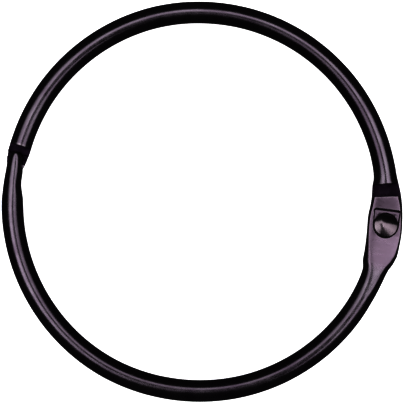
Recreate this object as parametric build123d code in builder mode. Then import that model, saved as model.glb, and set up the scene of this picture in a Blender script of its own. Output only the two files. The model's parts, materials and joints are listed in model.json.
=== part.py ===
from build123d import *
from math import asin, cos, degrees, radians, sin
import os

# Hinged snap ring of round wire, lying flat: +Z is the front, where the rivet's head is.
# The hinge is at +X and the closure at -X. The origin is under the middle of the outline.

# Driving dimensions, in millimetres
INNER_DIAMETER = 50.8
WIRE_RADIUS = 1.55
HALF_SPREAD = 0.33          # each half's arc is centred this far from the ring's own centre
HINGE_REACH = 29.4          # from the ring's centre to the outer edge of the hinge plate
CLOSURE_REACH = 28.2        # from the ring's centre to the outer edge of the closure
PLATE_HALF_WIDTH = 2.52     # at the pivot
SWAGED_HEIGHT = 1.25        # the hinge end's flat faces, above and below the wire's middle plane
SWAGE_START = 17.5          # degrees from the hinge to where the round wire starts to flatten
LAP_GAP = 0.03              # from the middle plane to each half's lapped face
PLATE_END = 4.4             # from the pivot to the straight end of the front plate
TONGUE_END = 5.4            # from the pivot to the rounded end of the rear tongue
SHOULDER_FRONT = 5.5        # from the pivot to the upper half's front shoulder
SHOULDER_REAR = 5.6         # from the pivot to the lower half's rear shoulder
POCKET_WIDTH = 3.65
POCKET_DEPTH = 0.35
POCKET_TOP = 2.2            # from the pivot to the pocket's straight upper edge
POCKET_CORNER = 0.35
HEAD_RADIUS = 1.78
HEAD_HEIGHT = 0.85
HEAD_RIM = 0.12             # straight side of the head, under its dome
SHANK_RADIUS = 1.0
TAIL_RADIUS = 1.5           # the clenched tail fills a 90 degree countersink
TAIL_CROWN = 0.08
RUNNING_CLEARANCE = 0.05
LAP_MIDDLE = 2.6            # height of the middle of the snap lap above the ring's centre line
TIP_REACH = 1.2             # from the middle of the lap to the end of each tip
LAP_SHOULDER = 2.1          # from the middle of the lap to each half's shoulder
TOOTH_PLACE = 0.65          # from the middle of the lap to the middle of each tooth
TOOTH_HEIGHT = 0.30
TOOTH_TOP = 0.20            # half the width of a tooth's top
TOOTH_SLOPE = 0.10          # what each flank of a tooth adds at its base
TOOTH_CLEARANCE = 0.08

# Worked out from them
ARC_RADIUS = INNER_DIAMETER / 2 + WIRE_RADIUS - HALF_SPREAD / 2
PIVOT_RADIUS = (ARC_RADIUS**2 - HALF_SPREAD**2) ** 0.5
RING_X = (CLOSURE_REACH - HINGE_REACH) / 2
PIVOT_X = RING_X + PIVOT_RADIUS
CLOSURE_X = RING_X - PIVOT_RADIUS
MIDDLE = WIRE_RADIUS        # height of the wire's middle plane
START_HEIGHT = WIRE_RADIUS - 0.05
START_FLAT = (WIRE_RADIUS**2 - START_HEIGHT**2) ** 0.5

LOWER, UPPER = -1, 1        # which side of the ring's centre line a half is on


def square_plane(side, angle):
    """Plane square to a half's wire, x outwards and y up, at an angle in degrees from the hinge."""
    outwards = Vector(cos(radians(angle)), side * sin(radians(angle)), 0)
    arc_centre = Vector(RING_X, side * HALF_SPREAD, MIDDLE)
    return Plane(arc_centre + outwards * ARC_RADIUS, outwards, outwards.cross(Vector(0, 0, 1)))


def closure_angle(side, reach):
    """Angle from the hinge to a place on a half, reach beyond the middle of the lap towards its tip."""
    own_height = side * LAP_MIDDLE - reach
    return 180 - degrees(asin((own_height - HALF_SPREAD) / ARC_RADIUS))


def round_wire(side, start, end):
    """The round wire of one half between two angles."""
    with BuildSketch(square_plane(side, start)) as section:
        Circle(WIRE_RADIUS)
    centre_line = Axis((RING_X, side * HALF_SPREAD, MIDDLE), (0, 0, side))
    revolve(section.sketch, axis=centre_line, revolution_arc=end - start)


def swaged_end(side, stations):
    """Flattened hinge end through stations, with flat faces above and below and round flanks.

    Each station is an angle from the hinge, the reach of the inner and outer flanks from the centre line,
    half the width of the flats, and their height.
    """
    sections = []
    for angle, inner, outer, flat, height in stations:
        with BuildSketch(square_plane(side, angle)) as section:
            with BuildLine():
                Line((-flat, height), (flat, height))
                ThreePointArc((flat, height), (outer, 0), (flat, -height))
                Line((flat, -height), (-flat, -height))
                ThreePointArc((-flat, -height), (-inner, 0), (-flat, height))
            make_face()
        sections.append(section.sketch)
    loft(sections)


def snap_tip(side, stations):
    """Tapered closure end through (reach, half width, half height, outward shift) stations."""
    sections = []
    for reach, half_width, half_height, shift in stations:
        with BuildSketch(square_plane(side, closure_angle(side, reach))) as section:
            with Locations((shift, 0)):
                Ellipse(half_width, half_height)
        sections.append(section.sketch)
    loft(sections)


def cut_snap_lap(side):
    """Takes away the far half of the wire's thickness past the shoulder, leaving a tooth and a groove."""
    base = TOOTH_TOP + TOOTH_SLOPE
    mouth = base + TOOTH_CLEARANCE
    floor = TOOTH_TOP + TOOTH_CLEARANCE
    tooth_top = LAP_GAP - TOOTH_HEIGHT
    groove_floor = TOOTH_HEIGHT - LAP_GAP + TOOTH_CLEARANCE
    beyond = 2 * WIRE_RADIUS
    profile = [
        (-LAP_SHOULDER, -beyond),
        (-LAP_SHOULDER, LAP_GAP),
        (-TOOTH_PLACE - mouth, LAP_GAP),
        (-TOOTH_PLACE - floor, groove_floor),
        (-TOOTH_PLACE + floor, groove_floor),
        (-TOOTH_PLACE + mouth, LAP_GAP),
        (TOOTH_PLACE - base, LAP_GAP),
        (TOOTH_PLACE - TOOTH_TOP, tooth_top),
        (TOOTH_PLACE + TOOTH_TOP, tooth_top),
        (TOOTH_PLACE + base, LAP_GAP),
        (TIP_REACH + 1, LAP_GAP),
        (TIP_REACH + 1, -beyond),
    ]
    with BuildSketch(Plane.YZ.offset(CLOSURE_X)) as waste:
        with BuildLine():
            Polyline([(LAP_MIDDLE - side * u, MIDDLE - side * w) for u, w in profile], close=True)
        make_face()
    extrude(waste.sketch, amount=2 * WIRE_RADIUS, both=True, mode=Mode.SUBTRACT)


def cut_hinge_lap(side, radius):
    """Takes away the far half of the thickness within a radius of the pivot, leaving a round shoulder."""
    face = MIDDLE - side * LAP_GAP
    with BuildSketch(Plane.XY.offset(face)) as waste:
        with Locations((PIVOT_X, 0)):
            Circle(radius)
    extrude(waste.sketch, amount=side * 2 * WIRE_RADIUS, mode=Mode.SUBTRACT)


os.makedirs("parts", exist_ok=True)

# Lower half ring: round wire with the front hinge plate and the front snap tip
with BuildPart() as lower_half_ring:
    taper_start = -5.9
    round_wire(LOWER, SWAGE_START, closure_angle(LOWER, taper_start))
    swaged_end(
        LOWER,
        [
            (SWAGE_START, WIRE_RADIUS, WIRE_RADIUS, START_FLAT, START_HEIGHT),
            (12.5, 1.80, 1.85, 1.15, 1.36),
            (8, 2.18, 2.42, 1.90, 1.27),
            (0, PLATE_HALF_WIDTH, PLATE_HALF_WIDTH, 2.15, SWAGED_HEIGHT),
            (-12.5, 1.95, 1.85, 1.5, SWAGED_HEIGHT),
        ],
    )
    snap_tip(
        LOWER,
        [
            (taper_start, WIRE_RADIUS, WIRE_RADIUS, 0),
            (-2.8, 1.26, 1.50, 0.12),
            (TIP_REACH, 0.90, 1.35, 0.35),
        ],
    )
    cut_snap_lap(LOWER)
    cut_hinge_lap(LOWER, SHOULDER_REAR)

    # the plate's straight end
    with BuildSketch():
        with Locations((PIVOT_X, PLATE_END)):
            Rectangle(4 * PLATE_HALF_WIDTH, PLATE_END, align=(Align.CENTER, Align.MIN))
    extrude(amount=2 * MIDDLE, mode=Mode.SUBTRACT)

    # shallow pocket round the rivet's head: straight above, round below
    with BuildSketch(Plane.XY.offset(MIDDLE + SWAGED_HEIGHT - POCKET_DEPTH)):
        with Locations((PIVOT_X, 0)):
            Circle(POCKET_WIDTH / 2)
            pocket = Rectangle(POCKET_WIDTH, POCKET_TOP, align=(Align.CENTER, Align.MIN))
        fillet(pocket.vertices().group_by(Axis.Y)[-1], POCKET_CORNER)
    extrude(amount=2 * POCKET_DEPTH, mode=Mode.SUBTRACT)

    # rivet hole
    with Locations((PIVOT_X, 0, MIDDLE + SWAGED_HEIGHT)):
        Hole(SHANK_RADIUS)
lower_half_ring.part.label = "lower_half_ring"

# Upper half ring: round wire with the rear hinge tongue and the rear snap tip
with BuildPart() as upper_half_ring:
    taper_start = -LAP_SHOULDER - 0.3
    round_wire(UPPER, SWAGE_START, closure_angle(UPPER, taper_start))
    swaged_end(
        UPPER,
        [
            (SWAGE_START, WIRE_RADIUS, WIRE_RADIUS, START_FLAT, START_HEIGHT),
            (12.5, 1.78, 1.72, 1.10, 1.36),
            (8, 2.17, 2.08, 1.80, 1.27),
            (0, 2.42, 2.42, 2.05, SWAGED_HEIGHT),
            (-13, 1.85, 1.85, 1.4, SWAGED_HEIGHT),
        ],
    )
    snap_tip(
        UPPER,
        [
            (taper_start, WIRE_RADIUS, WIRE_RADIUS, 0),
            (-0.4, 1.38, 1.46, 0.05),
            (TIP_REACH, 1.05, 1.35, 0.20),
        ],
    )
    cut_snap_lap(UPPER)
    cut_hinge_lap(UPPER, SHOULDER_FRONT)

    # the tongue's rounded end
    with BuildSketch():
        with Locations((PIVOT_X, 0)):
            Rectangle(6 * TONGUE_END, 2 * TONGUE_END, align=(Align.CENTER, Align.MAX))
            Circle(TONGUE_END, mode=Mode.SUBTRACT)
    extrude(amount=2 * MIDDLE, mode=Mode.SUBTRACT)

    # running hole with a countersink at the back for the rivet's tail
    with Locations(Plane((PIVOT_X, 0, MIDDLE - SWAGED_HEIGHT), z_dir=(0, 0, -1))):
        CounterSinkHole(
            radius=SHANK_RADIUS + RUNNING_CLEARANCE,
            counter_sink_radius=TAIL_RADIUS + RUNNING_CLEARANCE * 2**0.5,
            counter_sink_angle=90,
        )
upper_half_ring.part.label = "upper_half_ring"

# Hinge rivet: domed head in the pocket, shank, and a tail clenched into the countersink
with BuildPart() as hinge_rivet:
    seat = SWAGED_HEIGHT - POCKET_DEPTH
    tail_top = -SWAGED_HEIGHT + TAIL_RADIUS - SHANK_RADIUS
    with BuildSketch(Plane((PIVOT_X, 0, MIDDLE), x_dir=(1, 0, 0), z_dir=(0, -1, 0))):
        with BuildLine():
            crown = (0, seat + HEAD_HEIGHT)
            rim = (HEAD_RADIUS, seat + HEAD_RIM)
            tail_middle = (0, -SWAGED_HEIGHT - TAIL_CROWN)
            tail_edge = (TAIL_RADIUS, -SWAGED_HEIGHT)
            TangentArc(crown, rim, tangent=(1, 0))
            Polyline(rim, (HEAD_RADIUS, seat), (SHANK_RADIUS, seat), (SHANK_RADIUS, tail_top), tail_edge)
            TangentArc(tail_middle, tail_edge, tangent=(1, 0))
            Line(tail_middle, crown)
        make_face()
    revolve(axis=Axis((PIVOT_X, 0, 0), (0, 0, 1)))
hinge_rivet.part.label = "hinge_rivet"

for piece in (lower_half_ring, upper_half_ring, hinge_rivet):
    export_step(piece.part, f"parts/{piece.part.label}.step")
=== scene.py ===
import json
import math

import bmesh
import bpy
import numpy as np
from mathutils import Matrix, Vector, noise


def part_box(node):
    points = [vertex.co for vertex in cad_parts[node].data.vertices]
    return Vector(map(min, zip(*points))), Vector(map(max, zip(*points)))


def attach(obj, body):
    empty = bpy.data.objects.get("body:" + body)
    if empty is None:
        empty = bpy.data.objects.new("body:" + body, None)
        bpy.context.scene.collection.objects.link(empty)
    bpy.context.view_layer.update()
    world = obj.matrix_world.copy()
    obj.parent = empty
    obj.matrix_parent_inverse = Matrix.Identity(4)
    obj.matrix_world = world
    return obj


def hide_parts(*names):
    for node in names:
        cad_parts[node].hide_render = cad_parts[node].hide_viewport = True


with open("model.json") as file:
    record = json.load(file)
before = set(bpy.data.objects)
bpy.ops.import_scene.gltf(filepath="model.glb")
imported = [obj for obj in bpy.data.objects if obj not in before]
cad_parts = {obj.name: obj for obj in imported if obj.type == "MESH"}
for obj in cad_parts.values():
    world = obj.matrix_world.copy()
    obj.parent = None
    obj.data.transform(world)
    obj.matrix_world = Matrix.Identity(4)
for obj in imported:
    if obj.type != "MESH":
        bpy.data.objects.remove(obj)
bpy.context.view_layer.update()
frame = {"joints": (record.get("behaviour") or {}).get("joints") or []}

# Hinged snap ring in black nickel. Lengths below are in millimetres unless they are given to Blender, heights
# are from the wire's middle plane, and "along" is measured along the wire from the hinge pivot, towards a
# half's own side.
MM = 0.001

PIVOT = Vector(frame["joints"][0]["pos_m"]) / MM
MIDDLE = PIVOT.z
WIRE_RADIUS = PIVOT.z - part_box("lower_half_ring")[0].z / MM
HALF_SPREAD = 0.33          # each half's arc is centred this far from the ring's own centre
LOWER, UPPER = -1, 1        # which side of the ring's centre line a half is on
ARC_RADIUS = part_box("upper_half_ring")[1].y / MM - WIRE_RADIUS - HALF_SPREAD
RING_X = PIVOT.x - math.sqrt(ARC_RADIUS**2 - HALF_SPREAD**2)

LAP_GAP = 0.03
PLATE_END = -4.4
TONGUE_END = -5.4
SHOULDER_FRONT = 5.5
SHOULDER_REAR = 5.62
SHOULDER_RUN = 0.14         # length over which a shoulder climbs
LAP_MIDDLE = 2.6            # height of the middle of the snap lap above the ring's centre line
TIP_REACH = 1.2             # from the middle of the lap to the end of each tip
LAP_SHOULDER = -2.1         # from the middle of the lap back to each half's shoulder
HALFWAY = 40                # a place along each half, between its hinge end and its snap tip
BEYOND = 9                  # a height or a reach that is outside the wire everywhere
AROUND = 120                # points round the wire
LAP_EDGE = 0.03             # rounding of the edges of the lower half's laps
END_ROUNDING = 0.07         # rounding of each half's two ends
UNEVENNESS = 0.008          # how far the forged and drawn surface wanders
UNEVENNESS_SIZE = 2.5       # length over which it does
INSIDE_BOX = 0.994          # share of the wire's thickness that leaves room for the unevenness


# ---------------------------------------------------------------- curves and sections

def through(stations, at, column):
    """A smooth curve with no overshoot through one column of the stations, which start with the place."""
    xs = np.array([row[0] for row in stations], float)
    ys = np.array([row[column] for row in stations], float)
    run = np.diff(xs)
    slope = np.diff(ys) / run
    tangent = np.zeros_like(xs)
    for i in range(1, len(xs) - 1):
        before, after = slope[i - 1], slope[i]
        if before * after > 0:
            tangent[i] = 3 * (run[i - 1] + run[i]) / (
                (2 * run[i] + run[i - 1]) / before + (run[i] + 2 * run[i - 1]) / after
            )
    at = np.clip(at, xs[0], xs[-1])
    i = np.clip(np.searchsorted(xs, at, side="right") - 1, 0, len(run) - 1)
    t = (at - xs[i]) / run[i]
    h00, h10 = 2 * t**3 - 3 * t**2 + 1, t**3 - 2 * t**2 + t
    h01, h11 = 3 * t**2 - 2 * t**3, t**3 - t**2
    return h00 * ys[i] + h10 * run[i] * tangent[i] + h01 * ys[i + 1] + h11 * run[i] * tangent[i + 1]


def smooth_step(low, high, at):
    t = np.clip((at - low) / (high - low), 0, 1)
    return t * t * (3 - 2 * t)


def smooth_min(a, b, rounding):
    h = np.clip(0.5 + 0.5 * (b - a) / rounding, 0, 1)
    return b * (1 - h) + a * h - rounding * h * (1 - h)


def smooth_max(a, b, rounding):
    return -smooth_min(-a, -b, rounding)


def section(inner, outer, height, inner_power, outer_power):
    """Superellipse points round the wire, one row per place along it. x is outwards and z is up."""
    turn = np.linspace(0, 2 * math.pi, AROUND, endpoint=False)[None, :]
    c, s = np.cos(turn), np.sin(turn)
    width = np.where(c >= 0, outer[:, None], inner[:, None])
    power = np.where(c >= 0, outer_power[:, None], inner_power[:, None])
    x = width * np.sign(c) * np.abs(c) ** (2 / power)
    z = height[:, None] * np.sign(s) * np.abs(s) ** (2 / power)
    return x, z


def within_section(x, z, inner, outer, height, inner_power, outer_power):
    """Brings points that a lap has moved past the middle plane back onto the section's own outline."""
    width = np.where(x >= 0, outer[:, None], inner[:, None])
    power = np.where(x >= 0, outer_power[:, None], inner_power[:, None])
    level = np.clip(np.abs(z / height[:, None]), 0, 1)
    limit = width * (1 - level**power) ** (1 / power)
    return np.sign(x) * np.minimum(np.abs(x), limit)


def closure_place(side, reach):
    """Distance along the wire to a place that is reach beyond the lap's middle, towards the half's tip."""
    own_height = side * LAP_MIDDLE - reach
    return ARC_RADIUS * (math.pi - np.arcsin((own_height - HALF_SPREAD) / ARC_RADIUS))


def reach_at(side, along):
    """The reverse of closure_place."""
    own_height = HALF_SPREAD + ARC_RADIUS * np.sin(math.pi - along / ARC_RADIUS)
    return side * LAP_MIDDLE - own_height


def lap_face(reach):
    """Height of a snap tip's lapped face: a groove by the shoulder and a tooth near the end."""
    profile = [
        (-BEYOND, LAP_GAP), (-1.03, LAP_GAP), (-0.93, 0.35), (-0.37, 0.35), (-0.27, LAP_GAP),
        (0.35, LAP_GAP), (0.45, -0.27), (0.85, -0.27), (0.95, LAP_GAP), (BEYOND, LAP_GAP),
    ]
    return np.interp(reach, [p[0] for p in profile], [p[1] for p in profile])


def places(*spans):
    """Joined runs of places along the wire, each given as start, end and step."""
    runs = []
    for start, end, step in spans:
        runs.append(np.linspace(start, end, max(2, int(round(abs(end - start) / step)) + 1)))
    return np.unique(np.round(np.concatenate(runs), 5))


# ---------------------------------------------------------------- meshes

def mesh_object(name, points, faces):
    mesh = bpy.data.meshes.new(name)
    mesh.from_pydata([tuple(p) for p in points], [], faces)
    mesh.update()
    piece = bpy.data.objects.new(name, mesh)
    bpy.context.scene.collection.objects.link(piece)
    return piece


def closed_tube(name, rings):
    """A closed mesh through rings of points, with a flat cap on each end."""
    count, around = rings.shape[:2]
    faces = []
    for i in range(count - 1):
        for j in range(around):
            k = (j + 1) % around
            faces.append((i * around + j, i * around + k, (i + 1) * around + k, (i + 1) * around + j))
    faces.append(tuple(range(around - 1, -1, -1)))
    faces.append(tuple((count - 1) * around + j for j in range(around)))
    piece = mesh_object(name, rings.reshape(-1, 3) * MM, faces)
    work = bmesh.new()
    work.from_mesh(piece.data)
    bmesh.ops.recalc_face_normals(work, faces=work.faces)
    work.to_mesh(piece.data)
    work.free()
    return piece


def lay_along(side, along, x, z):
    """Puts section points in the row frame, in millimetres. Each half was bent slightly out of round."""
    # degrees round the ring from the hinge, and how far out the wire runs in the upper and in the lower half
    bends = [
        (0, 0.00, 0.00), (14, 0.00, 0.02), (30, -0.045, 0.09), (60, -0.04, 0.04), (90, -0.035, -0.015),
        (115, 0.055, 0.05), (150, 0.03, 0.0), (168, 0.00, 0.00), (180, 0.00, 0.00),
    ]
    angle = along[:, None] / ARC_RADIUS
    radius = ARC_RADIUS + x + through(bends, np.degrees(angle), 1 if side == UPPER else 2)
    across = RING_X + radius * np.cos(angle)
    up = side * (HALF_SPREAD + radius * np.sin(angle))
    return np.stack([across, up, MIDDLE + INSIDE_BOX * z], axis=-1)


def rounded_ends(along, x, z, shift):
    """Replaces the last sections at both ends with shrinking ones, so that each end's edge is rounded."""
    def extra(index, direction):
        rows = []
        middle_x, middle_z = x[index].mean(), (z[index].max() + z[index].min()) / 2
        half_x, half_z = np.ptp(x[index]) / 2, np.ptp(z[index]) / 2
        for turn in np.radians([30, 60, 90]):
            shrink = END_ROUNDING * (1 - math.cos(turn))
            rows.append((
                along[index] + direction * END_ROUNDING * (math.sin(turn) - 1),
                middle_x + (x[index] - middle_x) * (1 - shrink / half_x),
                middle_z + (z[index] - middle_z) * (1 - shrink / half_z),
                shift[index],
            ))
        return rows
    start, end = extra(0, -1)[::-1], extra(-1, 1)
    inside = (along > along[0] + END_ROUNDING) & (along < along[-1] - END_ROUNDING)
    columns = []
    for i, column in enumerate((along, x, z, shift)):
        columns.append(np.concatenate([[r[i] for r in start], column[inside], [r[i] for r in end]]))
    return columns


def add_unevenness(points, seed):
    """Moves points a little by smooth noise, as forging and drawing leave the metal."""
    noise.seed_set(5)           # left alone, the noise would differ from run to run
    offset = Vector((seed, seed * 1.7, seed * 2.3))
    flat = points.reshape(-1, 3)
    moved = [noise.noise_vector(Vector(p) / UNEVENNESS_SIZE + offset) for p in flat]
    return points + UNEVENNESS * np.array(moved).reshape(points.shape)


def subtract(piece, cutter):
    """Cuts a closed mesh out of another and removes the cutter."""
    cut = piece.modifiers.new("cut", "BOOLEAN")
    cut.operation = "DIFFERENCE"
    cut.solver = "MANIFOLD"
    cut.object = cutter
    graph = bpy.context.evaluated_depsgraph_get()
    result = bpy.data.meshes.new_from_object(piece.evaluated_get(graph))
    piece.modifiers.clear()
    old = piece.data
    piece.data = result
    bpy.data.meshes.remove(old)
    old = cutter.data
    bpy.data.objects.remove(cutter)
    bpy.data.meshes.remove(old)


def smooth_shade(piece, angle=35):
    piece.data.shade_smooth()
    piece.data.set_sharp_from_angle(angle=math.radians(angle))


# ---------------------------------------------------------------- lower half ring

def lower_half_ring():
    # along, reach of the inner and outer flanks, squareness of each, height of the front and rear faces
    hinge = [
        (-4.6, 2.10, 1.96, 3.0, 3.0, 1.22, 1.30),
        (-3.0, 2.31, 2.19, 3.0, 3.0, 1.15, 1.30),
        (-2.0, 2.50, 2.29, 3.0, 3.0, 1.105, 1.30),
        (-1.0, 2.58, 2.36, 3.0, 3.0, 1.06, 1.30),
        (0.0, 2.55, 2.43, 3.0, 3.0, 1.03, 1.30),
        (1.0, 2.49, 2.46, 2.9, 3.0, 1.01, 1.30),
        (2.0, 2.42, 2.46, 2.8, 3.0, 1.065, 1.28),
        (3.0, 2.33, 2.47, 2.7, 3.0, 1.135, 1.28),
        (3.7, 2.26, 2.45, 2.6, 2.9, 1.185, 1.28),
        (4.2, 2.21, 2.34, 2.5, 2.7, 1.22, 1.29),
        (4.7, 2.17, 2.23, 2.3, 2.5, 1.255, 1.31),
        (5.2, 2.11, 2.06, 2.2, 2.3, 1.29, 1.35),
        (5.6, 2.03, 1.90, 2.1, 2.2, 1.32, 1.38),
        (6.1, 1.84, 1.80, 2.0, 2.1, 1.36, 1.40),
        (6.6, 1.68, 1.74, 2.0, 2.0, 1.40, 1.43),
        (7.2, 1.61, 1.70, 2.0, 2.0, 1.45, 1.46),
        (8.2, 1.57, 1.65, 2.0, 2.0, 1.52, 1.51),
        (9.4, 1.55, 1.60, 2.0, 2.0, 1.60, 1.60),
        (11.0, 1.55, 1.55, 2.0, 2.0, 1.80, 1.80),
    ]
    # reach beyond the middle of the lap, reach of the inner and outer flanks, height and place of the crown,
    # squareness, and how far inwards the steep inner facet starts
    tip = [
        (-7.2, 1.55, 1.55, 1.55, 0.00, 2.0, 1.60),
        (-5.6, 1.50, 1.52, 1.55, -0.03, 2.0, 1.05),
        (-4.6, 1.33, 1.45, 1.55, -0.05, 2.1, 0.76),
        (-3.6, 1.14, 1.41, 1.54, -0.03, 2.1, 0.64),
        (-2.6, 1.06, 1.37, 1.52, 0.01, 2.2, 0.57),
        (-1.6, 1.08, 1.34, 1.51, 0.08, 2.2, 0.45),
        (-0.6, 0.98, 1.36, 1.50, 0.18, 2.2, 0.31),
        (0.3, 0.78, 1.28, 1.46, 0.30, 2.2, 0.20),
        (0.9, 0.55, 1.15, 1.38, 0.38, 2.1, 0.12),
        (TIP_REACH, 0.36, 0.98, 1.25, 0.41, 2.0, 0.08),
    ]
    end = closure_place(LOWER, TIP_REACH)
    closure_start = closure_place(LOWER, -7.2)
    along = places(
        (PLATE_END, SHOULDER_REAR - 0.1, 0.08),
        (SHOULDER_REAR - 0.1, SHOULDER_REAR + SHOULDER_RUN + 0.1, 0.02),
        (SHOULDER_REAR + SHOULDER_RUN + 0.1, 11, 0.12),
        (11, closure_start, 0.4),
        (closure_start, closure_place(LOWER, LAP_SHOULDER - 0.1), 0.12),
        (closure_place(LOWER, LAP_SHOULDER - 0.1), closure_place(LOWER, LAP_SHOULDER + 0.2), 0.02),
        (closure_place(LOWER, LAP_SHOULDER + 0.2), end, 0.04),
    )
    reach = reach_at(LOWER, along)
    near_hinge = along < HALFWAY
    # the crown runs a little outwards of the middle where the plate becomes wire, and again at the snap tip
    neck, neck_length, neck_shift = 8.5, 2.5, 0.15
    neck_bend = neck_shift * np.exp(-((along - neck) / neck_length) ** 2)
    shift = np.where(near_hinge, neck_bend, through(tip, reach, 4))
    inner = np.where(near_hinge, through(hinge, along, 1), through(tip, reach, 1)) + shift
    outer = np.where(near_hinge, through(hinge, along, 2), through(tip, reach, 2)) - shift
    height = np.where(near_hinge, WIRE_RADIUS, through(tip, reach, 3))
    inner_power = np.where(near_hinge, through(hinge, along, 3), through(tip, reach, 5))
    outer_power = np.where(near_hinge, through(hinge, along, 4), through(tip, reach, 5))
    x, z = section(inner, outer, height, inner_power, outer_power)

    # the closure's steep inner facet, from just inside the crown down to the middle plane
    facet = np.where(near_hinge, 3, through(tip, reach, 6) + shift)[:, None]
    facet_width, facet_rounding = 0.62, 0.06
    slant = facet + facet_width * np.clip(1 - z / WIRE_RADIUS, 0, 1) ** 0.8
    x = smooth_max(x, -slant, facet_rounding)

    # front and rear faces of the hinge end, and the laps at both ends
    front = np.where(near_hinge, through(hinge, along, 5), BEYOND)[:, None]
    inner_fall = 0.15 * np.abs(x / inner[:, None]) ** 4
    outer_fall = 0.08 * np.abs(x / outer[:, None]) ** 5
    front = front - np.where(x < 0, inner_fall, outer_fall)
    rear = np.where(near_hinge, -through(hinge, along, 6), -BEYOND)
    hinge_lap = 1 - smooth_step(SHOULDER_REAR, SHOULDER_REAR + SHOULDER_RUN, along)
    shoulder = closure_place(LOWER, LAP_SHOULDER)
    tip_lap = smooth_step(shoulder - SHOULDER_RUN, shoulder, along)
    floor = rear + (LAP_GAP - rear) * hinge_lap
    below = -1.7                # clear of the wire's rear
    floor = np.maximum(floor, below + (lap_face(reach) - below) * tip_lap)[:, None]
    edge = (0.07 + 0.16 * smooth_step(2.0, 4.5, along))[:, None]
    z = smooth_min(z, front, edge)
    z = smooth_max(z, floor, LAP_EDGE)
    x = within_section(x, z, inner, outer, height, inner_power, outer_power)
    along, x, z, shift = rounded_ends(along, x, z, shift)
    points = add_unevenness(lay_along(LOWER, along, x + shift[:, None], z), seed=3.1)
    return closed_tube("lower_half_ring_metal", points)


# ---------------------------------------------------------------- upper half ring

def upper_half_ring():
    # along, reach of the inner and outer flanks, squareness of both, height of the front and rear faces
    hinge = [
        (-5.4, 1.90, 1.86, 2.6, 1.60, 1.12),
        (-3.8, 2.12, 2.22, 2.6, 1.60, 1.12),
        (-1.9, 2.33, 2.36, 2.6, 1.60, 1.12),
        (0.0, 2.42, 2.36, 2.6, 1.60, 1.12),
        (1.9, 2.36, 2.24, 2.6, 1.60, 1.14),
        (3.8, 2.16, 2.02, 2.6, 1.60, 1.20),
        (4.5, 2.10, 1.92, 2.6, 1.60, 1.24),
        (5.0, 2.05, 1.82, 2.4, 1.60, 1.28),
        (5.5, 1.99, 1.74, 2.1, 1.60, 1.32),
        (6.0, 1.85, 1.66, 2.0, 1.60, 1.36),
        (6.5, 1.73, 1.60, 2.0, 1.60, 1.40),
        (7.5, 1.64, 1.57, 2.0, 1.60, 1.46),
        (9.5, 1.58, 1.55, 2.0, 1.60, 1.56),
        (11.0, 1.55, 1.55, 2.0, 1.70, 1.70),
    ]
    # reach beyond the middle of the lap, reach of the inner and outer flanks, height of the crown
    tip = [
        (-3.4, 1.55, 1.55, 1.55),
        (-2.0, 1.54, 1.56, 1.55),
        (-1.4, 1.52, 1.58, 1.55),
        (-0.9, 1.47, 1.58, 1.54),
        (-0.4, 1.40, 1.53, 1.53),
        (0.1, 1.31, 1.45, 1.50),
        (0.6, 1.20, 1.35, 1.44),
        (1.0, 1.06, 1.20, 1.36),
        (TIP_REACH, 0.90, 1.02, 1.27),
    ]
    end = closure_place(UPPER, TIP_REACH)
    closure_start = closure_place(UPPER, -3.5)
    along = places(
        (TONGUE_END + 0.6, SHOULDER_FRONT - 0.1, 0.1),
        (TONGUE_END, TONGUE_END + 0.6, 0.04),
        (SHOULDER_FRONT - 0.1, SHOULDER_FRONT + SHOULDER_RUN + 0.1, 0.02),
        (SHOULDER_FRONT + SHOULDER_RUN + 0.1, 11, 0.12),
        (11, closure_start, 0.4),
        (closure_start, closure_place(UPPER, LAP_SHOULDER - 0.3), 0.12),
        (closure_place(UPPER, LAP_SHOULDER - 0.3), closure_place(UPPER, LAP_SHOULDER + 0.1), 0.02),
        (closure_place(UPPER, LAP_SHOULDER + 0.1), end, 0.04),
    )
    reach = reach_at(UPPER, along)
    near_hinge = along < HALFWAY
    # the tongue's end is rounded off in outline
    into_end = np.clip((TONGUE_END + 0.9 - along) / 0.95, 0, 1)
    round_off = np.sqrt(np.clip(1 - into_end**2.4, 0.02, 1))
    inner = np.where(near_hinge, through(hinge, along, 1) * round_off, through(tip, reach, 1))
    outer = np.where(near_hinge, through(hinge, along, 2) * round_off, through(tip, reach, 2))
    height = np.where(near_hinge, WIRE_RADIUS, through(tip, reach, 3))
    power = np.where(near_hinge, through(hinge, along, 3), 2.0)
    x, z = section(inner, outer, height, power, power)

    above = 1.7                 # clear of the wire's front
    front = np.where(near_hinge, through(hinge, along, 4), above)
    rear = np.where(near_hinge, -through(hinge, along, 5), -BEYOND)[:, None]
    hinge_lap = 1 - smooth_step(SHOULDER_FRONT, SHOULDER_FRONT + SHOULDER_RUN, along)
    shoulder = closure_place(UPPER, LAP_SHOULDER)
    tip_lap = smooth_step(shoulder - SHOULDER_RUN, shoulder, along)
    ceiling = front + (-LAP_GAP - front) * hinge_lap
    ceiling = np.minimum(ceiling, above + (-lap_face(reach) - above) * tip_lap)[:, None]
    rear_edge, shoulder_edge = 0.08, 0.05
    z = smooth_max(z, rear, rear_edge)
    z = smooth_min(z, ceiling, shoulder_edge)
    x = within_section(x, z, inner, outer, height, power, power)
    along, x, z, shift = rounded_ends(along, x, z, np.zeros_like(along))
    points = add_unevenness(lay_along(UPPER, along, x, z), seed=7.9)
    return closed_tube("upper_half_ring_metal", points)


# ---------------------------------------------------------------- pocket and rivet

POCKET_RADIUS = 1.825
POCKET_TOP = 2.10
POCKET_CORNER = 0.30
POCKET_FLOOR = 0.74
POCKET_DISH = 0.10          # the floor dips this much round the head
HEAD_RADIUS = 1.78
HEAD_CROWN = 0.92
SHANK_RADIUS = 1.0
TAIL_RADIUS = 1.5


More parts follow.
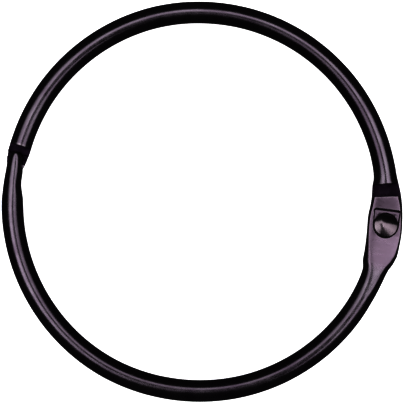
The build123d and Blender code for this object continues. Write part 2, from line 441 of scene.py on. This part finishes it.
def pocket_outline(grow):
    """Points round the pocket, grown outwards: a half circle below and rounded square corners above."""
    radius, corner = POCKET_RADIUS + grow, POCKET_CORNER + grow
    points = []
    for turn in np.radians(np.linspace(180, 360, 61)):
        points.append((radius * math.cos(turn), radius * math.sin(turn)))
    for centre_x, first in ((radius - corner, 0), (corner - radius, 90)):
        for turn in np.radians(np.linspace(first, first + 90, 13)):
            points.append((
                centre_x + corner * math.cos(turn),
                POCKET_TOP + grow - corner + corner * math.sin(turn),
            ))
    return np.array(points)


def pocket_cutter():
    """Solid that leaves the pocket: a floor dished round the head, upright walls and a rolled rim."""
    rings = []
    floor_edge = pocket_outline(-0.10)
    for share in (0.02, 0.3, 0.6, 0.7, 0.78, 0.84, 0.9, 0.96, 1.0):
        outline = floor_edge * share
        radius = np.hypot(outline[:, 0], outline[:, 1])
        dish = POCKET_DISH * (1 - smooth_step(HEAD_RADIUS - 0.02, HEAD_RADIUS + 0.26, radius))
        rings.append(np.column_stack([outline, POCKET_FLOOR - dish]))
    for height, grow in (
        (0.77, -0.03), (0.83, 0.0), (0.94, 0.0), (0.97, 0.015), (1.0, 0.04), (1.02, 0.07),
        (1.04, 0.12), (1.06, 0.17), (1.10, 0.20), (1.5, 0.22),
    ):
        outline = pocket_outline(grow)
        rings.append(np.column_stack([outline, np.full(len(outline), height)]))
    offset = np.array([PIVOT.x, PIVOT.y, MIDDLE])
    return closed_tube("pocket_cutter", np.array(rings) + offset)


def turned(name, profile, around=96, height_at=None):
    """A closed turned solid about the pivot from (radius, height) points, from the top down."""
    rings = []
    for radius, height in profile:
        turn = np.linspace(0, 2 * math.pi, around, endpoint=False)
        x, y = radius * np.cos(turn), radius * np.sin(turn)
        z = height_at(x, y) if height is None else np.full(around, float(height))
        rings.append(np.column_stack([PIVOT.x + x, PIVOT.y + y, MIDDLE + z]))
    return closed_tube(name, np.array(rings))


def struck_head(x, y):
    """Height of the rivet's domed head, which was struck off centre: flat to the right, steep at the top."""
    turn = math.radians(ROLL)
    apex_left, apex_below, rim = 0.52, 0.05, 0.03
    across = x * math.cos(turn) + y * math.sin(turn) + apex_left
    up = y * math.cos(turn) - x * math.sin(turn) + apex_below
    fall_across = np.where(across > 0, 0.115, 0.15) * np.abs(across) ** 1.5
    fall_up = up**2 / np.where(up > 0, 4.4, 14.0)
    twist = 0.09 * np.clip(across, 0, 3) * up
    edge = (1 - np.clip(np.hypot(x, y) / HEAD_RADIUS, 0, 1) ** 50) ** 0.5
    return POCKET_FLOOR + rim + (HEAD_CROWN - rim - fall_across - fall_up - twist) * edge


def hinge_rivet():
    seat = POCKET_FLOOR + 0.01 - POCKET_DISH
    profile = [(radius, None) for radius in np.linspace(0.01, 0.84, 26) * HEAD_RADIUS]
    profile += [(share * HEAD_RADIUS, None) for share in (0.88, 0.91, 0.935, 0.955, 0.97, 0.98, 0.99, 0.997)]
    profile += [
        (HEAD_RADIUS, POCKET_FLOOR),
        (HEAD_RADIUS - 0.02, seat + 0.03), (HEAD_RADIUS - 0.06, seat),
        (SHANK_RADIUS, seat), (SHANK_RADIUS, -0.62), (TAIL_RADIUS, -1.12), (TAIL_RADIUS - 0.02, -1.16),
        (TAIL_RADIUS - 0.25, -1.22), (TAIL_RADIUS - 0.7, -1.27), (0.02, -1.29),
    ]
    return turned("hinge_rivet_metal", profile, height_at=struck_head)


def shank_cutter(name, radius):
    return turned(name, [(radius, 2.0), (radius, -2.0)], around=64)


def countersink_cutter():
    """The running hole through the tongue, with its countersink at the back."""
    clearance = 0.05
    return turned(
        "tongue_hole_cutter",
        [(SHANK_RADIUS + clearance, 0.5), (SHANK_RADIUS + clearance, -0.60),
         (TAIL_RADIUS + clearance, -1.10), (TAIL_RADIUS + 0.2, -1.25), (TAIL_RADIUS + 0.5, -2.0)],
        around=64,
    )


# ---------------------------------------------------------------- finish marks

def vertices_of(mesh):
    """Where each vertex is, in millimetres, and the way its surface faces."""
    place, normal = np.empty(len(mesh.vertices) * 3), np.empty(len(mesh.vertices) * 3)
    mesh.vertices.foreach_get("co", place)
    mesh.vertex_normals.foreach_get("vector", normal)
    return place.reshape(-1, 3) / MM, normal.reshape(-1, 3)


def wear_of(mesh):
    """How sharply each vertex is raised, from 0 on smooth metal to 1 on an edge that is rubbed first."""
    count = len(mesh.vertices)
    place, normal = vertices_of(mesh)
    pairs = np.empty(len(mesh.edges) * 2, dtype=np.int64)
    mesh.edges.foreach_get("vertices", pairs)
    a, b = pairs.reshape(-1, 2).T
    gap = place[a] - place[b]
    length = np.maximum((gap**2).sum(axis=1), 1e-6)
    bend = np.zeros(count)
    total = np.zeros(count)
    for one, way in ((a, gap), (b, -gap)):
        np.add.at(bend, one, 2 * (way * normal[one]).sum(axis=1) / length)
        np.add.at(total, one, 1)
    bend /= np.maximum(total, 1)
    smooth_bend, sharpest_bend = 1.2, 5.2
    wear = np.clip((bend - smooth_bend) / (sharpest_bend - smooth_bend), 0, 1)
    for _ in range(2):
        near = np.zeros(count)
        np.add.at(near, a, wear[b])
        np.add.at(near, b, wear[a])
        wear = 0.5 * wear + 0.5 * near / np.maximum(total, 1)
    return wear


def mark_half(piece, side):
    """Stores where a half ring is rubbed, lapped, stamped and on its inside, and the way its wire runs."""
    mesh = piece.data
    count = len(mesh.vertices)
    place, normal = vertices_of(mesh)
    level = place[:, 2] - MIDDLE
    away = np.hypot(place[:, 0] - RING_X, side * place[:, 1] - HALF_SPREAD) - ARC_RADIUS
    angle = np.arctan2(side * place[:, 1] - HALF_SPREAD, place[:, 0] - RING_X)
    angle = np.where(angle < -1.5, angle + 2 * math.pi, angle)
    along = ARC_RADIUS * angle
    reach = np.where(along > HALFWAY, reach_at(side, along), -BEYOND)

    # the lapped faces look towards the other half: up on the upper half's tongue, down behind the plate; the
    # material paints them in shade
    shoulder = SHOULDER_REAR + SHOULDER_RUN if side == LOWER else SHOULDER_FRONT + SHOULDER_RUN
    lapped = (along < shoulder) | (reach > LAP_SHOULDER - SHOULDER_RUN)
    toward = 1 if side == UPPER else -1
    lap = lapped & (normal[:, 2] * toward > 0.35) & (level * toward < 0.05)

    # the stamped flats fade out into the round wire
    struck = np.abs(normal[:, 2]) if side == LOWER else -normal[:, 2]
    stamped = smooth_step(7.0, 4.8, along) * smooth_step(0.85, 0.97, struck) * ~lap

    # the ring's inside, which the material paints in shade, mostly on the upper half near the hinge
    inside = smooth_step(0.25, -0.25, away) * smooth_step(-5, -9, reach)
    if side == UPPER:
        inside *= smooth_step(6, 9, along) * (0.6 + 0.4 * place[:, 0] / ARC_RADIUS)
    else:
        inside *= smooth_step(12, 20, along) * 0.45

    # edges are rubbed; the upper half's wire end also gets a lighter, rougher band by its snap shoulder,
    # where the other snap tip slides over it, which is part rub and part a painted highlight of the
    # shoulder's rim
    wear = wear_of(mesh)
    if side == UPPER:
        before = closure_place(UPPER, LAP_SHOULDER) - SHOULDER_RUN - along
        wear_and_sheen = smooth_step(0.30, 0.12, before) * smooth_step(-0.1, 0.0, before) * (normal[:, 2] > 0.6)
        wear = np.maximum(wear, 0.55 * wear_and_sheen)

    marks = {"wear": wear, "lap": lap.astype(float), "stamped": stamped, "inside": inside}
    for name, values in marks.items():
        mesh.attributes.new(name, "FLOAT", "POINT").data.foreach_set("value", values.astype(np.float32))
    run = np.column_stack([along, WIRE_RADIUS * np.arctan2(level, away), np.zeros(count)])
    run_mark = mesh.attributes.new("run", "FLOAT_VECTOR", "POINT")
    run_mark.data.foreach_set("vector", run.ravel().astype(np.float32))


def mark_rivet(piece):
    mesh = piece.data
    mesh.attributes.new("wear", "FLOAT", "POINT").data.foreach_set("value", wear_of(mesh).astype(np.float32))


# ---------------------------------------------------------------- materials

def black_nickel(name, deep, light, inside_shade, flat, roughness):
    """Black nickel plating: tinted metal with a cloudy colour, an uneven sheen, rubbed edges and relief, with
    painted shade in the laps and on the ring's inside.
    """
    made = bpy.data.materials.new(name)
    made.use_nodes = True
    nodes, link = made.node_tree.nodes, made.node_tree.links.new
    nodes.clear()
    out = nodes.new("ShaderNodeOutputMaterial")
    shader = nodes.new("ShaderNodeBsdfPrincipled")
    shader.inputs["Metallic"].default_value = 1.0
    link(shader.outputs["BSDF"], out.inputs["Surface"])
    place = nodes.new("ShaderNodeTexCoord")

    def noise_at(scale, detail, rough=0.5, source=None):
        node = nodes.new("ShaderNodeTexNoise")
        node.inputs["Scale"].default_value = scale
        node.inputs["Detail"].default_value = detail
        node.inputs["Roughness"].default_value = rough
        link(source or place.outputs["Object"], node.inputs["Vector"])
        return node.outputs["Fac"]

    def spread(source, low, high):
        node = nodes.new("ShaderNodeMapRange")
        node.inputs["From Min"].default_value = 0.3
        node.inputs["From Max"].default_value = 0.7
        node.inputs["To Min"].default_value = low
        node.inputs["To Max"].default_value = high
        link(source, node.inputs["Value"])
        return node.outputs["Result"]

    def combine(operation, first, second):
        node = nodes.new("ShaderNodeMath")
        node.operation = operation
        for socket, value in zip(node.inputs, (first, second)):
            if isinstance(value, (int, float)):
                socket.default_value = value
            else:
                link(value, socket)
        return node.outputs[0]

    def blend(factor, first, second, kind="RGBA"):
        node = nodes.new("ShaderNodeMix")
        node.data_type = kind
        sockets = (6, 7, 2) if kind == "RGBA" else (2, 3, 0)
        link(factor, node.inputs[0])
        for index, value in zip(sockets[:2], (first, second)):
            if isinstance(value, bpy.types.NodeSocket):
                link(value, node.inputs[index])
            else:
                node.inputs[index].default_value = value
        return node.outputs[sockets[2]]

    def mark(mark_name):
        node = nodes.new("ShaderNodeAttribute")
        node.attribute_name = mark_name
        return node

    def stretched(source, scale):
        node = nodes.new("ShaderNodeMapping")
        node.inputs["Scale"].default_value = scale
        link(source, node.inputs["Vector"])
        return node.outputs["Vector"]

    # cloudy plating colour, from dark violet to a lighter grey-violet
    tint = nodes.new("ShaderNodeValToRGB")
    tint.color_ramp.elements[0].position = 0.30
    tint.color_ramp.elements[0].color = (*deep, 1)
    tint.color_ramp.elements[1].position = 0.72
    tint.color_ramp.elements[1].color = (*light, 1)
    link(noise_at(260, 4), tint.inputs["Fac"])

    # painted shade: the ring's inside is coloured a little darker, which dims its reflections there; the
    # plating is purpler on the stamped flats
    stamped = mark("stamped").outputs["Fac"]
    inside = combine("MULTIPLY", mark("inside").outputs["Fac"], 0.6)
    colour = blend(inside, tint.outputs["Color"], (*inside_shade, 1))
    colour = blend(stamped, colour, (*flat, 1))

    # rubbed edges, broken up so that they are not an even line; the same lighter colour paints a highlight on
    # the rim of the upper half's snap shoulder
    wear_and_sheen = combine("MULTIPLY", mark("wear").outputs["Fac"], spread(noise_at(1500, 3), 0.15, 1.0))
    colour = blend(wear_and_sheen, colour, (0.42, 0.38, 0.40, 1))
    rough = spread(noise_at(900, 3), roughness - 0.03, roughness + 0.05)
    rough = blend(combine("MULTIPLY", wear_and_sheen, 0.6), rough, 0.34, "FLOAT")
    # painted shade: the lapped faces, which lie in shade between the two halves, are coloured near black with
    # a cloudy noise; they are also rougher, as unpolished metal
    lap = mark("lap").outputs["Fac"]
    lap_shade = blend(spread(noise_at(700, 4, 0.6), 0, 1), (0.009, 0.005, 0.011, 1), (0.036, 0.024, 0.040, 1))
    colour = blend(lap, colour, lap_shade)
    rough = blend(lap, rough, spread(noise_at(1100, 3), 0.24, 0.42), "FLOAT")
    # stamped flats are duller, with faint streaks across them
    streaks = noise_at(1, 3, 0.5, stretched(place.outputs["Object"], (350, 1500, 350)))
    rough = blend(stamped, rough, spread(streaks, 0.26, 0.33), "FLOAT")
    link(colour, shader.inputs["Base Color"])
    link(rough, shader.inputs["Roughness"])

    # relief: drawing lines along the wire, streaks on the flats, and a fine orange peel everywhere
    drawn = noise_at(1, 2, 0.5, stretched(mark("run").outputs["Vector"], (0.25, 9.0, 1)))
    relief = blend(stamped, drawn, combine("MULTIPLY", streaks, 0.25), "FLOAT")
    coarse = nodes.new("ShaderNodeBump")
    coarse.inputs["Strength"].default_value = 0.5
    coarse.inputs["Distance"].default_value = 0.0000025
    link(relief, coarse.inputs["Height"])
    fine = nodes.new("ShaderNodeBump")
    fine.inputs["Strength"].default_value = 0.35
    fine.inputs["Distance"].default_value = 0.000006
    link(noise_at(2600, 3, 0.6), fine.inputs["Height"])
    link(coarse.outputs["Normal"], fine.inputs["Normal"])
    link(fine.outputs["Normal"], shader.inputs["Normal"])
    return made


def white_floor():
    made = bpy.data.materials.new("white_floor")
    made.use_nodes = True
    shader = made.node_tree.nodes["Principled BSDF"]
    shader.inputs["Base Color"].default_value = (0.85, 0.85, 0.85, 1)
    shader.inputs["Roughness"].default_value = 0.9
    shader.inputs["Emission Color"].default_value = (1, 1, 1, 1)
    shader.inputs["Emission Strength"].default_value = 1.0
    return made


# ---------------------------------------------------------------- camera, light and floor

RING_CENTRE = Vector((RING_X * MM, 0, MIDDLE * MM))
ROLL = 7.13                 # degrees that the ring is turned clockwise in the picture
CAMERA_HEIGHT = 0.34
FRAME_WIDTH = 0.05799       # width of the view at the ring's middle plane
LIGHT_HEIGHT = 0.36


def camera():
    data = bpy.data.cameras.new("camera")
    data.sensor_width = 36
    data.lens = data.sensor_width * CAMERA_HEIGHT / FRAME_WIDTH
    data.clip_start = 0.01
    seen = bpy.data.objects.new("camera", data)
    bpy.context.scene.collection.objects.link(seen)
    turn = Matrix.Rotation(math.radians(ROLL), 4, "Z")
    # the ring sits a little left of the middle of the picture
    offset = turn @ Vector((0.40 * MM, 0.03 * MM, 0))
    seen.matrix_world = Matrix.Translation(RING_CENTRE + offset + Vector((0, 0, CAMERA_HEIGHT))) @ turn
    bpy.context.scene.camera = seen


def softbox(name, x_low, x_high, y_low, y_high, radiance, spread=120):
    """A flat overhead panel of light. Its edges are slopes seen from the ring's centre, along the picture's
    own axes, and it is brightest straight below and dimmer towards the edge of its spread."""
    data = bpy.data.lights.new(name, "AREA")
    data.shape = "RECTANGLE"
    data.size, data.size_y = (x_high - x_low) * LIGHT_HEIGHT, (y_high - y_low) * LIGHT_HEIGHT
    data.spread = math.radians(spread)
    half = data.spread / 2
    data.energy = radiance * math.pi * data.size * data.size_y * (1 - half / math.tan(half))
    lamp = bpy.data.objects.new(name, data)
    bpy.context.scene.collection.objects.link(lamp)
    turn = Matrix.Rotation(math.radians(ROLL), 4, "Z")
    middle = Vector((x_low + x_high, y_low + y_high, 2)) * LIGHT_HEIGHT / 2
    lamp.matrix_world = Matrix.Translation(RING_CENTRE) @ turn @ Matrix.Translation(middle)


def studio():
    softbox("softbox_right", 0.13, 0.98, -0.07, 0.42, 3.3)
    softbox("softbox_right_high", 0.13, 0.42, 0.42, 0.56, 2.8)
    softbox("softbox_right_low", 0.27, 1.10, -0.50, -0.09, 2.8, spread=140)
    softbox("softbox_left", -1.12, -0.12, 0.0, 0.57, 3.0)
    softbox("softbox_left_low", -0.82, -0.32, -0.37, 0.0, 4.3)
    softbox("softbox_left_near", -0.32, -0.06, -0.20, 0.0, 3.0)
    softbox("softbox_left_fill", -0.32, -0.13, -0.42, -0.20, 2.4)
    softbox("softbox_top", -0.12, 0.13, 0.30, 0.68, 3.3)
    softbox("softbox_top_low", -0.12, 0.13, 0.12, 0.30, 1.6)
    softbox("softbox_bottom", -0.06, 0.13, -0.30, -0.08, 0.2)
    world = bpy.data.worlds.new("studio")
    world.use_nodes = True
    background = world.node_tree.nodes["Background"]
    background.inputs["Color"].default_value = (1, 1, 1, 1)
    background.inputs["Strength"].default_value = 0.10
    bpy.context.scene.world = world
    # with this gamma the wire's edges blend into the white floor as evenly as displayed values would
    bpy.context.scene.view_settings.view_transform = "Standard"
    bpy.context.scene.view_settings.gamma = 0.5

    half = 4.0
    floor = mesh_object(
        "floor", [(-half, -half, 0), (half, -half, 0), (half, half, 0), (-half, half, 0)], [(0, 1, 2, 3)]
    )
    floor.data.materials.append(white_floor())
    floor.visible_glossy = False


# ---------------------------------------------------------------- build

camera()
studio()

wire_metal = black_nickel(
    "black_nickel_wire", deep=(0.15, 0.124, 0.155), light=(0.215, 0.192, 0.22),
    inside_shade=(0.08, 0.062, 0.083), flat=(0.23, 0.185, 0.23), roughness=0.20,
)
rivet_metal = black_nickel(
    "black_nickel_rivet", deep=(0.17, 0.14, 0.16), light=(0.26, 0.23, 0.25),
    inside_shade=(0.08, 0.062, 0.083), flat=(0.2, 0.16, 0.19), roughness=0.18,
)

lower = lower_half_ring()
subtract(lower, pocket_cutter())
subtract(lower, shank_cutter("plate_hole_cutter", SHANK_RADIUS - 0.01))
upper = upper_half_ring()
subtract(upper, countersink_cutter())
rivet = hinge_rivet()
for piece in (lower, upper, rivet):
    smooth_shade(piece)
mark_half(lower, LOWER)
mark_half(upper, UPPER)
mark_rivet(rivet)

for piece, body, node, finish, slot in (
    (lower, "lower_half", "lower_half_ring", wire_metal, "black_nickel_wire"),
    (upper, "upper_half", "upper_half_ring", wire_metal, "black_nickel_wire"),
    (rivet, "lower_half", "hinge_rivet", rivet_metal, "black_nickel_rivet"),
):
    piece.data.materials.clear()
    piece.data.materials.append(finish)
    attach(piece, body)
    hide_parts(node)
